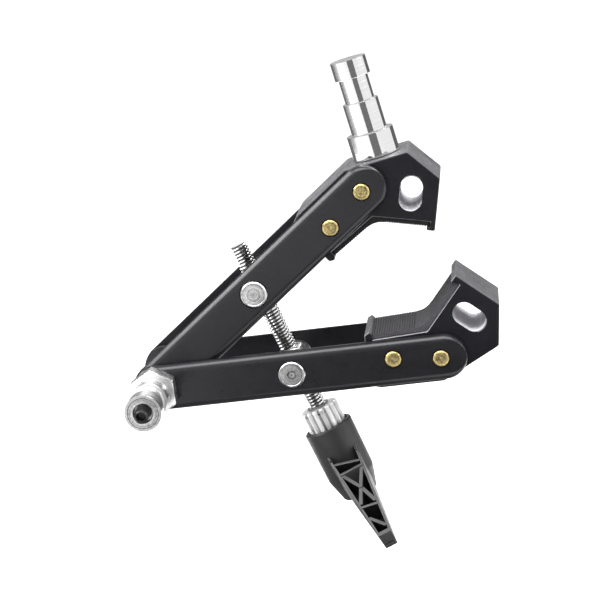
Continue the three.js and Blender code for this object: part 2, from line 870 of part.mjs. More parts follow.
function lowerArm() {
  const arm = new THREE.Group();
  const cross = new THREE.Group();
  cross.position.y = -armShift;
  const [outer, inner] = [armWidth / 2, jawWidth / 2 + seatGap];
  cross.add(
    named("lower_front_bar", sideBar(1, -outer, -inner), blackCoat),
    named("lower_back_bar", sideBar(1, outer, inner), blackCoat),
    named("lower_jaw", jawCasting(1), blackCasting),
    named("lower_jaw_pad", jawPad(1), rubber),
    named("lower_inner_rivet", innerRivet(1), brass),
    named("lower_outer_rivet", outerRivet(), brass),
  );
  arm.add(
    cross,
    named("hinge_bolt", hingeBolt(), turnedSteel),
    named("hinge_washer", hingeWasher(), zincPlate),
    named("hinge_sleeve", hingeSleeve(), zincPlate),
    named("hinge_stud", hingeStud(), polishedAlloy),
    named("hinge_stud_screw", grubScrew(), blackOxide),
  );
  return arm;
}

function upperArm() {
  const arm = new THREE.Group();
  arm.position.y = armShift;
  arm.rotation.y = -openAngle;
  const [outer, inner] = [armWidth / 2, jawWidth / 2 + seatGap];
  arm.add(
    named("upper_front_bar", sideBar(-1, -outer, -inner), blackCoat),
    named("upper_back_bar", sideBar(-1, outer, inner), blackCoat),
    named("upper_jaw", jawCasting(-1), blackCasting),
    named("upper_jaw_pad", jawPad(-1), rubber),
    named("upper_inner_rivet", innerRivet(-1), brass),
    named("upper_outer_rivet", outerRivet(), brass),
    named("top_stud", topStud(), polishedAlloy),
    named("top_stud_screw", topStudScrew(), blackOxide),
  );
  return arm;
}

// Both trunnions lean with the spindle, square to the line midway between the arms.
function trunnions() {
  const both = new THREE.Group();
  const lower = named("lower_trunnion", trunnion(-armShift, spindleLean), turnedSteel);
  lower.position.x = pivotToTrunnion;
  const upper = named("upper_trunnion", trunnion(armShift, spindleLean), turnedSteel);
  upper.position.x = pivotToTrunnion * Math.cos(openAngle);
  upper.position.z = pivotToTrunnion * Math.sin(openAngle);
  both.add(lower, upper);
  return both;
}

function spindleLine() {
  const line = new THREE.Group();
  line.position.x = pivotToTrunnion;
  line.rotation.y = -spindleLean;
  line.add(
    named("spindle", spindle(), zincPlate),
    named("thrust_washer", thrustWasher(), blackNylon),
    named("splined_hub", splinedHub(), zincPlate),
    named("lever_handle", leverHandle(), blackPlastic),
    named("lever_screw", leverScrew(), zincPlate),
    named("lever_spring", leverSpring(), turnedSteel),
  );
  return line;
}

const superClamp = new THREE.Group();
superClamp.position.y = hingeHexLength - hingeStudFoot;
superClamp.add(lowerArm(), upperArm(), trunnions(), spindleLine());

export default superClamp;
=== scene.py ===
# %% [markdown]
# # A super clamp
# The clamp has two arms of flat black bar, joined by a hinge. Each arm ends in a cast jaw with a
# rubber pad. A threaded spindle with a lever draws the arms together, and two bright stepped
# studs take lighting fittings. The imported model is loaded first, because it fixes where every
# piece goes. Each visible piece is then made again with a finer surface, in the same place.

from math import atan2, cos, degrees, pi, radians, sin, tan

import bmesh
import bpy
from mathutils import Matrix, Vector


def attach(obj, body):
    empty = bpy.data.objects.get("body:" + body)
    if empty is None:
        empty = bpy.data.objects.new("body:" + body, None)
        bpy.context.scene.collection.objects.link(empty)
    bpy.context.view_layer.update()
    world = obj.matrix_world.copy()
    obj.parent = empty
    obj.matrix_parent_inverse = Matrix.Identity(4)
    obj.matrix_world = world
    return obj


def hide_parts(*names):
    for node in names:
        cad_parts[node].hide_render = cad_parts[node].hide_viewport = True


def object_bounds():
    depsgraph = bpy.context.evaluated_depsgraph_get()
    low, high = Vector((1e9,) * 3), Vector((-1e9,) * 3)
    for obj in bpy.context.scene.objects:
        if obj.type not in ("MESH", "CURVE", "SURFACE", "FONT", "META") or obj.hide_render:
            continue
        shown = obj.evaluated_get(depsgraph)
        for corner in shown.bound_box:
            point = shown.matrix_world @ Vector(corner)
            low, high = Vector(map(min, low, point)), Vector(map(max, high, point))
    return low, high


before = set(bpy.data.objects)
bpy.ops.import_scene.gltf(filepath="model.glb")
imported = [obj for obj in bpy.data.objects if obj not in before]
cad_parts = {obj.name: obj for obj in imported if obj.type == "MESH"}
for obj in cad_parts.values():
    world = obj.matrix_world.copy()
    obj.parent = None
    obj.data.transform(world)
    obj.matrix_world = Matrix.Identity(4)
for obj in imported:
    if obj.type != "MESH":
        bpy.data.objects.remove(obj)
CAD_BOX = [list(corner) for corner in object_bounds()]
print("nodes", len(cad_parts), "box", [round(v, 4) for corner in CAD_BOX for v in corner])

# %% [markdown]
# The sizes below are millimetres, because a clamp's drawing has them that way, and a piece is
# scaled to metres once, when it is finished. Six frames say where things are: the lower arm, the
# upper arm, the spindle, the hinge stud, the hinge bolt, and the upper jaw's land with the top
# stud. A piece is made lying along its own frame, so the same few lines make the same jaw twice.
# Round pieces are made standing on Z, and `ACROSS` lays them across the clamp.

# %% Where the arms, the spindle and the studs are
MIDDLE = 32.65  # the clamp's middle plane, behind the hinge stud's shoulder
SHIFT = 2.15  # each arm lies this far to its own side of the middle plane
OPEN = radians(37.04)  # the angle between the arms at rest
LEAN = OPEN / 2  # the spindle leans by half of it
TRUNNION = 60.9  # from the hinge to each trunnion
LAND_SLOPE = radians(27.1)  # the jaw's land against its bar
LAND_MIDDLE = (139.681, 0, -4.868)
METRES = Matrix.Scale(0.001, 4)
ACROSS = Matrix.Rotation(pi / 2, 4, "X")


def shifted(x=0.0, y=0.0, z=0.0):
    return Matrix.Translation((x, y, z))


LOWER = shifted(y=MIDDLE - SHIFT)
UPPER = shifted(y=MIDDLE + SHIFT) @ Matrix.Rotation(-OPEN, 4, "Y") @ Matrix.Rotation(pi, 4, "X")
ARMS = (("lower", LOWER), ("upper", UPPER))
SPINDLE = shifted(TRUNNION, MIDDLE) @ Matrix.Rotation(-LEAN, 4, "Y")
UPPER_TRUNNION = SPINDLE @ shifted(z=2 * TRUNNION * sin(LEAN))
STUD = shifted(y=8) @ ACROSS
LAND = UPPER @ Matrix.Translation(LAND_MIDDLE) @ Matrix.Rotation(pi - LAND_SLOPE, 4, "Y")
BOLT = shifted(y=MIDDLE) @ Matrix.Rotation(-pi / 2, 4, "X")
print("upper trunnion at", [round(v, 2) for v in UPPER_TRUNNION.translation])

# %% [markdown]
# Most pieces of a clamp come from a lathe or a drill, so the first helpers make round things.
# `turn` spins a profile about Z, as a lathe does. A cylinder from Blender's menu would do for a
# plain rod, but a profile also carries the grooves, chamfers and domes in one go.

# %% Helpers for turned solids
MERGE = 0.0005  # corners closer than this are one corner


def turn(profile, steps=96):
    bm = bmesh.new()
    verts = [bm.verts.new((r, 0, z)) for r, z in profile]
    edges = [bm.edges.new(pair) for pair in zip(verts, verts[1:])]
    bmesh.ops.spin(bm, geom=verts + edges, cent=(0, 0, 0), axis=(0, 0, 1), angle=2 * pi,
                   steps=steps, use_merge=True, use_duplicate=False)
    bmesh.ops.remove_doubles(bm, verts=bm.verts, dist=MERGE)
    bmesh.ops.recalc_face_normals(bm, faces=bm.faces)
    return bm


def rod(radius, z0, z1, steps=48):
    return turn([(0, z0), (radius, z0), (radius, z1), (0, z1)], steps)


def placed(bm, matrix):
    bmesh.ops.transform(bm, matrix=matrix, verts=bm.verts)
    return bm


print("a test rod has", len(rod(1, 0, 1).faces), "faces")

# %% [markdown]
# Holes are cut and parts are joined with Boolean modifiers. A modifier could be left live, but
# `combine` hands back plain faces instead, so that the next step can pick edges among them, and
# so that no cutter is left lying in the scene.

# %% Helper that joins and cuts
def as_object(bm, name):
    mesh = bpy.data.meshes.new(name)
    bm.to_mesh(mesh)
    bm.free()
    obj = bpy.data.objects.new(name, mesh)
    bpy.context.scene.collection.objects.link(obj)
    return obj


def combine(body, tools, operation="DIFFERENCE"):
    base = as_object(body, "base")
    cutters = [as_object(tool, "tool") for tool in tools]
    for cutter in cutters:
        step = base.modifiers.new("step", "BOOLEAN")
        step.operation, step.object, step.solver = operation, cutter, "EXACT"
    result = bmesh.new()
    result.from_object(base, bpy.context.evaluated_depsgraph_get())
    for obj in [base] + cutters:
        mesh = obj.data
        bpy.data.objects.remove(obj)
        bpy.data.meshes.remove(mesh)
    bmesh.ops.remove_doubles(result, verts=result.verts, dist=MERGE)
    return result


print("Boolean helper ready")

# %% [markdown]
# `finish` turns a solid into a piece: it puts it in its place, scales it to metres, shades its
# curved faces smoothly, and tells the frame which body it rides on and which finish it has. Some
# faces get another finish, chosen by a test on where they are and which way they look. The
# normals are weighted by area, so that a wide flat face stays flat right up to its narrow rounded
# edge. `stand_in` does the same for a piece that takes the place of a plain solid.

# %% Helpers that finish a piece
def finish(bm, name, material, body, place=Matrix.Identity(4), smooth=32, others=()):
    bm.normal_update()
    for face in bm.faces:
        face.smooth = True
        face.material_index = 0
        for index, (_, test) in enumerate(others, 1):
            if test(face.calc_center_median(), face.normal):
                face.material_index = index
    placed(bm, METRES @ place)
    piece = as_object(bm, name)
    piece.data.set_sharp_from_angle(angle=radians(smooth))
    even = piece.modifiers.new("even_normals", "WEIGHTED_NORMAL")
    even.keep_sharp = True
    for paint in [material] + [other for other, _ in others]:
        piece.data.materials.append(paint)
    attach(piece, body)
    print(name, len(piece.data.polygons), "faces")
    return piece


def stand_in(bm, node, material, body, place=Matrix.Identity(4), smooth=32, others=()):
    piece = finish(bm, node + "_fine", material, body, place, smooth, others)
    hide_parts(node)
    return piece


print("finishing helpers ready")

# %% [markdown]
# Every finish is built from noise in the object's own space, so nothing slides when the camera
# moves. `Finish` is a small wrapper that adds nodes to a material and links them in one line.
# `spread` maps the middle of a noise's range to the two values wanted, because noise hardly ever
# comes near 0 or 1. `blend` mixes two colours, and `mixed` mixes two numbers.

# %% Helper that builds a material from nodes
NUMBERS, COLOURS = (2, 3, 0), (6, 7, 2)  # a Mix node's two inputs and its output, by place


def grey(value):
    return (value, value, value)


class Finish:
    def __init__(self, name, **sockets):
        self.material = bpy.data.materials.new(name)
        self.material.use_nodes = True
        self.tree = self.material.node_tree
        self.shader = self.tree.nodes["Principled BSDF"]
        for socket, value in sockets.items():
            self.shader.inputs[socket.replace("_", " ")].default_value = value
        self.coords = self.tree.nodes.new("ShaderNodeTexCoord").outputs["Object"]

    def add(self, kind, links=None, settings=None, **inputs):
        node = self.tree.nodes.new("ShaderNode" + kind)
        for key, value in (settings or {}).items():
            setattr(node, key, value)
        for key, value in inputs.items():
            node.inputs[key.replace("_", " ")].default_value = value
        for key, socket in (links or {}).items():
            self.tree.links.new(socket, node.inputs[key])
        return node

    def noise(self, scale, detail=3.0, roughness=0.55, vector=None):
        node = self.add("TexNoise", {"Vector": vector or self.coords}, Scale=scale, Detail=detail,
                        Roughness=roughness)
        return node.outputs["Fac"]

    def spread(self, value, low, high, start=0.3, end=0.7):
        node = self.add("MapRange", {"Value": value}, From_Min=start, From_Max=end, To_Min=low,
                        To_Max=high)
        return node.outputs["Result"]

    def blend(self, value, first, second):
        one, two, out = COLOURS
        node = self.add("Mix", {"Factor": value}, {"data_type": "RGBA"})
        node.inputs[one].default_value = (*first, 1)
        node.inputs[two].default_value = (*second, 1)
        return node.outputs[out]

    def mixed(self, first, second, share):
        one, two, out = NUMBERS
        return self.add("Mix", {one: first, two: second}, Factor=share).outputs[out]

    def bump(self, height, distance):
        node = self.add("Bump", {"Height": height}, Strength=1.0, Distance=distance)
        return node.outputs["Normal"]

    def to(self, socket, value):
        self.tree.links.new(value, self.shader.inputs[socket])


print("material helper ready")

# %% [markdown]
# The bars have a satin powder coat: nearly black, a little blue, with a faint orange peel that
# breaks up the highlights. A single dark colour would look like plastic, so a cloudy noise varies
# the colour, a second one the gloss, and a fine one raises the grain.

# %% Powder coat
def coat(name, dark, pale, gloss, shine, grain, depth):
    made = Finish(name, Roughness=gloss, Specular_IOR_Level=shine)
    fine = made.noise(grain, 2, 0.5)
    cloud = made.mixed(made.noise(90, 4), fine, 0.6)
    cool = [(v, 0.99 * v, 1.03 * v + 0.002) for v in (dark, pale)]
    made.to("Base Color", made.blend(made.spread(cloud, 0, 1, 0.38, 0.62), *cool))
    made.to("Roughness", made.spread(made.noise(220, 3), gloss - 0.03, gloss + 0.03))
    made.to("Normal", made.bump(fine, depth))
    return made.material


bar_coat = coat("bar_coat", 0.006, 0.009, gloss=0.3, shine=0.46, grain=900, depth=0.0000015)
print(bar_coat.name, "has", len(bar_coat.node_tree.nodes), "nodes")

# %% [markdown]
# A bar is a stadium: a circle cut in two, with the halves drawn apart. A broad soft highlight
# along its outer edge shows that this edge is rounded over nearly the whole thickness, and the
# inner one hardly at all. A bevel would round both the same way, so each section of the rounding
# is a ring here, and `loft` bridges a row of rings and closes its two ends.

# %% Helper that bridges rings
def loft(rings):
    bm = bmesh.new()
    loops = []
    for ring in rings:
        verts = [bm.verts.new(spot) for spot in ring]
        loops.append([bm.edges.new(pair) for pair in zip(verts, verts[1:] + verts[:1])])
    for one, two in zip(loops, loops[1:]):
        bmesh.ops.bridge_loops(bm, edges=one + two)
    bmesh.ops.edgeloop_fill(bm, edges=loops[0] + loops[-1])
    bmesh.ops.recalc_face_normals(bm, faces=bm.faces)
    return bm


print("loft helper ready")

# %% [markdown]
# The holes are cut with flared tools, so their edges come out chamfered, as real drilled and
# deburred holes are. Front and back bars mirror each other. The upper arm's frame is turned over,
# so its front bar is on the other side of that frame.

# %% Side bars
BAR_END, BAR_HALF, BAR_THICK = 128.2, 10.25, 4.0
BAR_INSIDE = 18.25  # from the arm's middle to the inner side of its bars
INNER_RIVET, OUTER_RIVET = (105.95, 2.0), (126.7, 0.0)
BOLT_HOLE, TRUNNION_HOLE, RIVET_HOLE = 4.3, 6.05, 3.75


def rounding(width, depth, quarter):
    return [(width * (1 - cos(i * pi / 2 / quarter)), depth * (1 - sin(i * pi / 2 / quarter)))
            for i in range(quarter + 1)]


def bar_ring(inset, y, steps=72):
    spots = []
    for i in range(steps):
        angle = 2 * pi * (i + 0.5) / steps
        radius = BAR_HALF - inset * (0.14 + 0.86 * sin(angle) ** 2)
        x = radius * cos(angle)
        spots.append((x + (BAR_END if x > 0 else 0), y, radius * sin(angle)))
    return spots


def flared(radius, flare, x=0.0, z=0.0):
    half = BAR_THICK / 2
    cutter = turn([(0, -half - 1), (radius + flare + 1, -half - 1), (radius, -half + flare),
                   (radius, half - flare), (radius + flare + 1, half + 1), (0, half + 1)], 48)
    return placed(cutter, shifted(x, 0, z) @ ACROSS)


def bar(side):
    half = BAR_THICK / 2
    outer = [(inset, half - drop) for inset, drop in rounding(3.6, 3.5, 8)]
    inner = [(inset, drop - half) for inset, drop in rounding(0.35, 0.35, 3)]
    bm = loft([bar_ring(inset, side * y) for inset, y in inner[::-1] + outer])
    return combine(bm, [flared(BOLT_HOLE, 0.3), flared(TRUNNION_HOLE, 0.35, TRUNNION),
                        flared(RIVET_HOLE, 0.3, *INNER_RIVET),
                        flared(RIVET_HOLE, 0.3, *OUTER_RIVET)])


for (arm, place), front in zip(ARMS, (-1, 1)):
    for side, name in ((front, "front"), (-front, "back")):
        solid = placed(bar(side), shifted(y=side * (BAR_INSIDE + BAR_THICK / 2)))
        stand_in(solid, f"{arm}_{name}_bar", bar_coat, f"{arm}_arm", place)

# %% [markdown]
# The jaw is a casting: a block with a V seat for the pad, a lip at each end of the seat, a
# sloping land that carries a stud, and a slot right through it. Pushing and cutting a cube into
# this shape would take many steps, but seen from the side it is one outline. So the outline is
# worked out from the bend of the V, along the seat and square to it, and given its width, with
# rounded edges. The slot is cut afterwards, so that its rim is rounded too.

# %% Outline of the jaw
SLOPE = Vector((cos(radians(49.3)), sin(radians(49.3))))  # up along the steep half of the seat
OUTWARD = Vector((SLOPE.y, -SLOPE.x))  # square to it, into the casting
FOOT, BEND = Vector((97.8, 10.5)), Vector((122.0, 11.6))
SEAT_END = BEND + 25.2 * SLOPE
HOOK = SEAT_END - 2.5 * OUTWARD
LIP_INNER = SEAT_END - 3.9 * OUTWARD
LIP_TIP = LIP_INNER + 2.3 * SLOPE
END_CORNER = LIP_TIP + 23.2 * OUTWARD
LAND_OUTER = END_CORNER + 18.4 * Vector((-sin(radians(7)), -cos(radians(7))))
JAW_BACK = -11.35
LAND_INNER = Vector((LAND_OUTER.x - (LAND_OUTER.y - JAW_BACK) / tan(LAND_SLOPE), JAW_BACK))
JAW_OUTLINE = [(94.3, -10.05), (98.8, JAW_BACK), LAND_INNER, LAND_OUTER, END_CORNER, LIP_TIP,
               LIP_INNER - 1.4 * SLOPE, HOOK - 1.4 * SLOPE, HOOK, SEAT_END, BEND, FOOT,
               (97.8, 12.9), (96.6, 14.1), (94.3, 12.9)]
SLOT = LIP_TIP + 15.4 * OUTWARD - 11.9 * SLOPE
print("jaw outline has", len(JAW_OUTLINE), "corners, slot at", [round(v, 1) for v in SLOT])

# %% [markdown]
# `slab` gives a flat outline its thickness. `soften` bevels the edges that are sharper than an
# angle, since no real edge is perfectly sharp, and the highlight on it is what shows the shape.

# %% Helpers for the outline and its edges
def verts_of(out):
    return [item for item in out["geom"] if isinstance(item, bmesh.types.BMVert)]


def slab(outline, y0, y1):
    bm = bmesh.new()
    face = bm.faces.new([bm.verts.new((x, y0, z)) for x, z in outline])
    out = bmesh.ops.extrude_face_region(bm, geom=[face])
    bmesh.ops.translate(bm, verts=verts_of(out), vec=(0, y1 - y0, 0))
    bmesh.ops.recalc_face_normals(bm, faces=bm.faces)
    return bm


def soften(bm, width, segments=2, angle=30, keep=lambda edge: True):
    edges = [e for e in bm.edges if len(e.link_faces) == 2
             and degrees(e.calc_face_angle(0)) > angle and keep(e)]
    bmesh.ops.bevel(bm, geom=edges, offset=width, offset_type="OFFSET", affect="EDGES",
                    segments=segments, profile=0.5, material=-1, clamp_overlap=True)
    return bm


print("slab and edge helpers ready")

# %% [markdown]
# The castings have the bars' colour over a rougher surface. Their flat sides are dark, and their
# cast faces are grainy, and paler partly for the cast skin and partly as a painted sheen of the
# light from above. The edge beside the pad gets a pale, shiny coat, a painted highlight, and the
# inside of the slot is painted pale, a painted light for what the slot catches. Each is the same
# coat with other numbers, so that they look related, as they are on the real clamp.

# %% Finishes of the jaw
# painted light: the slot's inside is painted pale, the pad's edge carries a painted highlight, and
# the cast faces a painted sheen besides their own grain
slot_painted_light = coat("slot_painted_light", 0.58, 0.74, gloss=0.6, shine=0.2, grain=1500, depth=0.00006)
pad_edge_highlight = coat("pad_edge_highlight", 0.12, 0.2, gloss=0.3, shine=0.9, grain=1500, depth=0.00002)
jaw_coat = coat("jaw_coat", 0.006, 0.01, gloss=0.34, shine=0.2, grain=1700, depth=0.00003)
cast_grain_and_sheen = coat("cast_grain_and_sheen", 0.015, 0.1, gloss=0.5, shine=0.6, grain=1000, depth=0.0002)
print("jaw finishes made")

# %% [markdown]
# The slot's cutter is the same stadium trick as the bar, with a flat circle. Small tests pick
# faces and edges by where they are: the slot's rim, the slot's inside, the edge by the pad, and
# the cast faces.

# %% Jaw castings
JAW_HALF = 18


def slot_cutter(radius=5, stretch=2.7):
    bm = bmesh.new()
    half_step = Matrix.Rotation(pi / 48, 4, "Z")
    bmesh.ops.create_circle(bm, cap_ends=True, radius=radius, segments=48,
                            matrix=ACROSS @ half_step)
    for side in (1, -1):
        verts = [v for v in bm.verts if side * v.co.x > 0]
        bmesh.ops.translate(bm, verts=verts, vec=(side * stretch, 0, 0))
    lean = atan2(OUTWARD.y, OUTWARD.x)
    placed(bm, shifted(SLOT.x, -JAW_HALF - 2, SLOT.y) @ Matrix.Rotation(-lean, 4, "Y"))
    out = bmesh.ops.extrude_face_region(bm, geom=bm.faces[:])
    bmesh.ops.translate(bm, verts=verts_of(out), vec=(0, 2 * JAW_HALF + 4, 0))
    bmesh.ops.recalc_face_normals(bm, faces=bm.faces)
    return bm


def on_the_slots_rim(edge):
    middle = (edge.verts[0].co + edge.verts[1].co) / 2
    return abs(middle.y) > JAW_HALF - 0.1 and (middle.xz - SLOT).length < 9


def inside_the_slot(spot, normal):
    return abs(spot.y) < JAW_HALF - 0.6 and (spot.xz - SLOT).length < 8


def by_the_pad(spot, normal):
    up = -normal.xz.dot(OUTWARD)
    return abs(spot.y) > JAW_HALF - 0.8 and abs(normal.y) < 0.95 and up > 0.28


def off_the_sides(spot, normal):
    return abs(normal.y) < 0.35


def jaw():
    bm = soften(slab(JAW_OUTLINE, -JAW_HALF, JAW_HALF), 0.65, 3, 12)
    bm = combine(bm, [slot_cutter()])
    return soften(bm, 0.5, 2, 60, on_the_slots_rim)


for arm, place in ARMS:
    stand_in(jaw(), f"{arm}_jaw", jaw_coat, f"{arm}_arm", place, 40,
             [(cast_grain_and_sheen, off_the_sides), (pad_edge_highlight, by_the_pad), (slot_painted_light, inside_the_slot)])

# %% [markdown]
# The pad is a strip of rubber, bent into the V and ribbed across. A bump in the material would
# leave its profile smooth, so the ribs are made: the outline goes over the tops and through the
# grooves, and is given the pad's width. At the V it swings round in a curve, since thick rubber
# doesn't fold sharply. The rubber is matt. Fine bands that run the other way, broken up by
# specks, turn the ribs into the cross-hatched grain of the real pads.

# %% Pad rubber
def ribbed_rubber():
    made = Finish("pad_rubber", Roughness=0.62, Specular_IOR_Level=0.35)
    bands = made.add("TexWave", {"Vector": made.coords}, {"bands_direction": "Y"}, Scale=330.0,
                     Distortion=0.6, Detail=2.0)
    speck = made.noise(1500, 3, 0.75)
    both = made.add("Math", {0: bands.outputs["Fac"], 1: speck}, {"operation": "MULTIPLY"})
    share = made.spread(both.outputs["Value"], 0, 1, 0.16, 0.36)
    made.to("Base Color", made.blend(share, (0.001, 0.001, 0.002), (0.07, 0.066, 0.075)))
    made.to("Roughness", made.spread(speck, 0.5, 0.75))
    made.to("Normal", made.bump(both.outputs["Value"], 0.001))
    return made.material


pad_rubber = ribbed_rubber()
print("rubber made")

# %% [markdown]
# The outline of the pad starts at the foot of the V and follows the seat, a little above it.

# %% Jaw pads
PAD_THICK, PAD_HALF, RIB_PITCH, BEND_REACH = 2.25, 16.7, 1.1, 4.2


def ribs(start, end, normal):
    count = round((end - start).length / RIB_PITCH)
    points = []
    for i in range(count):
        for share, drop in ((0.0, 0.0), (0.55, 0.0), (0.78, 0.5)):
            points.append(start.lerp(end, (i + share) / count) - drop * normal)
    return points


def pad():
    flat = (BEND - FOOT).normalized()
    flat_normal, slope_normal = Vector((-flat.y, flat.x)), -OUTWARD
    miter = (flat_normal + slope_normal).normalized()
    miter /= miter.dot(flat_normal)
    start, end = FOOT + 0.25 * flat, SEAT_END - 0.25 * SLOPE
    lower = [start + 0.1 * flat_normal, BEND + 0.1 * miter, end + 0.1 * slope_normal]
    crest = BEND + PAD_THICK * miter
    before, after = crest - BEND_REACH * flat, crest + BEND_REACH * SLOPE
    bend = [before.lerp(crest, i / 10).lerp(crest.lerp(after, i / 10), i / 10) for i in range(10)]
    top_start, top_end = start + PAD_THICK * flat_normal, end + PAD_THICK * slope_normal
    upper = (ribs(top_start, before, flat_normal) + bend + ribs(after, top_end, slope_normal)
             + [top_end])
    return slab([tuple(p) for p in lower + upper[::-1]], -PAD_HALF, PAD_HALF)


for arm, place in ARMS:
    stand_in(soften(pad(), 0.12, 1, 50), f"{arm}_jaw_pad", pad_rubber, f"{arm}_arm",
             place, 20)

# %% [markdown]
# A turned part carries rings from the lathe: fine grooves that run round its axis, on the sides
# and on the end face. The pattern must therefore depend only on the distance from the axis and
# the distance along it. A Mapping node brings the piece's own axis to Z, and those two
# distances feed the noise. Pieces that are turned coarsely, such as the rivets, get `marks` too:
# a second noise that breaks the rings up. A picture of rings would need each piece unwrapped.

# %% Helper for turned metal
def turned(name, base, gloss, place, colour=(1, 1, 1), groove=0.000004, ring=1600, streak=0.08,
           marks=0.0):
    made = Finish(name, Metallic=1.0, Roughness=gloss)
    back = place.inverted()
    own_axis = made.add("Mapping", {"Vector": made.coords})
    own_axis.inputs["Rotation"].default_value = back.to_euler()
    own_axis.inputs["Location"].default_value = METRES @ back.translation
    split = made.add("SeparateXYZ", {"Vector": own_axis.outputs["Vector"]})
    flat = made.add("CombineXYZ", {"X": split.outputs["X"], "Y": split.outputs["Y"]})
    away = made.add("VectorMath", {"Vector": flat.outputs["Vector"]}, {"operation": "LENGTH"})
    rings = made.add("CombineXYZ", {"X": away.outputs["Value"], "Y": split.outputs["Z"]})
    pattern = made.noise(ring, 2, 0.6, rings.outputs["Vector"])
    if marks:
        pattern = made.mixed(pattern, made.noise(900, 4, 0.75), marks)
    span = 0.12 if marks else 0.2
    low = [c * base * (1 - streak) for c in colour]
    high = [c * base for c in colour]
    share = made.spread(pattern, 0, 1, 0.5 - span, 0.5 + span)
    made.to("Base Color", made.blend(share, low, high))
    made.to("Roughness", made.spread(pattern, gloss * 0.8, gloss * 1.4))
    made.to("Normal", made.bump(pattern, groove))
    return made.material


print("turned finish ready")

# %% [markdown]
# The rivets are brass, with a low dome, a turned ring and a dimple in the middle. One profile
# makes both heads and the shank between them, in one spin. Each rivet has a brass of its own,
# because the rings of the finish must run round that rivet's axis.

# %% Rivets
BRASS = (1.0, 0.8, 0.36)


def rivet():
    head = [(0, 0.8), (0.4, 0.84), (0.7, 0.98), (1.5, 0.98), (1.65, 0.93), (1.8, 0.96),
            (2.6, 0.88), (3.2, 0.66), (3.5, 0.4), (3.6, 0.2), (3.6, 0)]
    shank, seat = 2.5, 22.5
    profile = ([(r, seat + h) for r, h in head] + [(shank, seat), (shank, -seat)]
               + [(r, -seat - h) for r, h in head[::-1]])
    return placed(turn(profile, 64), ACROSS)


for arm, place in ARMS:
    for hole, (x, z) in (("inner", INNER_RIVET), ("outer", OUTER_RIVET)):
        spot = place @ shifted(x, 0, z)
        brass = turned(f"{arm}_{hole}_brass", 0.7, 0.34, spot @ ACROSS, BRASS, groove=0.00012,
                       ring=1500, streak=0.75, marks=0.6)
        stand_in(rivet(), f"{arm}_{hole}_rivet", brass, f"{arm}_arm", spot)

# %% [markdown]
# A stepped stud is a lighting fitting: a cap, a neck that the socket's screw holds, and a wider
# body below, so both studs share one profile. The one on top of the jaw stands on a collar. Its
# sides are polished. Its end and ledges are rougher, as the tool left them, and get a darker
# metal, a painted shade that draws them as grey lines.

# %% Top stud
STUD_RADIUS, NECK_RADIUS, NECK, CAP = 8, 6.6, 10.9, 8.2
top_stud_metal = turned("top_stud_metal", 0.86, 0.08, LAND)
# painted shade: the end and the ledges get a darker metal, to show as grey lines
stud_end_shade = turned("stud_end_shade", 0.28, 0.5, LAND, groove=0.000002, ring=1300)


def spigot(foot, body):
    neck = foot + body
    cap = neck + NECK
    top = cap + CAP
    return [(STUD_RADIUS, foot), (STUD_RADIUS, neck), (NECK_RADIUS, neck), (NECK_RADIUS, cap),
            (STUD_RADIUS, cap), (STUD_RADIUS, top)]


def top_stud():
    collar, collar_top = 10.5, 11.25
    profile = [(0, 0.25), (collar, 0.25), (collar, collar_top)] + spigot(collar_top, 14)
    return soften(turn(profile + [(0, profile[-1][1])], 128), 0.2, 2, 40)


stand_in(top_stud(), "top_stud", top_stud_metal, "upper_arm", LAND, 32,
         [(stud_end_shade, lambda spot, normal: normal.z > 0.3)])

# %% [markdown]
# The stud on the hinge grows out of a hexagon whose corners are turned off. That is how such a
# part is made from hexagon bar, so the hexagon is intersected with a turned blank here too. A
# bevel on the hexagon's edges would not give the curved lines where flats and cone meet.

# %% Hinge stud
def hexagon(flats, z0, z1):
    bm = bmesh.new()
    corner = flats / 3 ** 0.5
    bmesh.ops.create_cone(bm, cap_ends=True, segments=6, radius1=corner, radius2=corner,
                          depth=z1 - z0, matrix=shifted(z=(z0 + z1) / 2))
    return bm


def hinge_stud(flats=19):
    corner = flats / 3 ** 0.5 + 0.1
    blank = turn([(0, -8), (9.5, -8), (corner, -7.2), (corner, -0.85), (9.4, 0), (0, 0)], 128)
    hex_part = soften(combine(hexagon(flats, -8, 0), [blank], "INTERSECT"), 0.15, 2, 25)
    bore = [(4.2, 31), (4.2, 28), (0, 28)]
    body = soften(turn([(0, -4)] + spigot(-4, 15.9) + bore, 128), 0.22, 2, 40)
    return combine(hex_part, [body], "UNION")


hinge_stud_metal = turned("hinge_stud_metal", 0.9, 0.27, STUD)
stud_face = turned("stud_face", 0.75, 0.34, STUD, groove=0.00008, ring=1300, streak=0.85,
                   marks=0.4)
stand_in(hinge_stud(), "hinge_stud", hinge_stud_metal, "lower_arm",
         STUD @ shifted(z=8), 32,
         [(stud_face, lambda spot, normal: spot.z > 30.9 and normal.z > 0.9)])

# %% [markdown]
# A screw thread is a ridge that climbs as it winds. Rings stacked up would look alike from afar,
# but they don't climb, and it shows at the tip. Spinning one turn's profile with a lift at every
# step makes a real thread: a flat crest, a flank, a flat root and a flank, with each turn merged
# to the next. Both ends are drawn to a point, and the rod is then intersected with its
# envelope, which gives it its length and its chamfer.

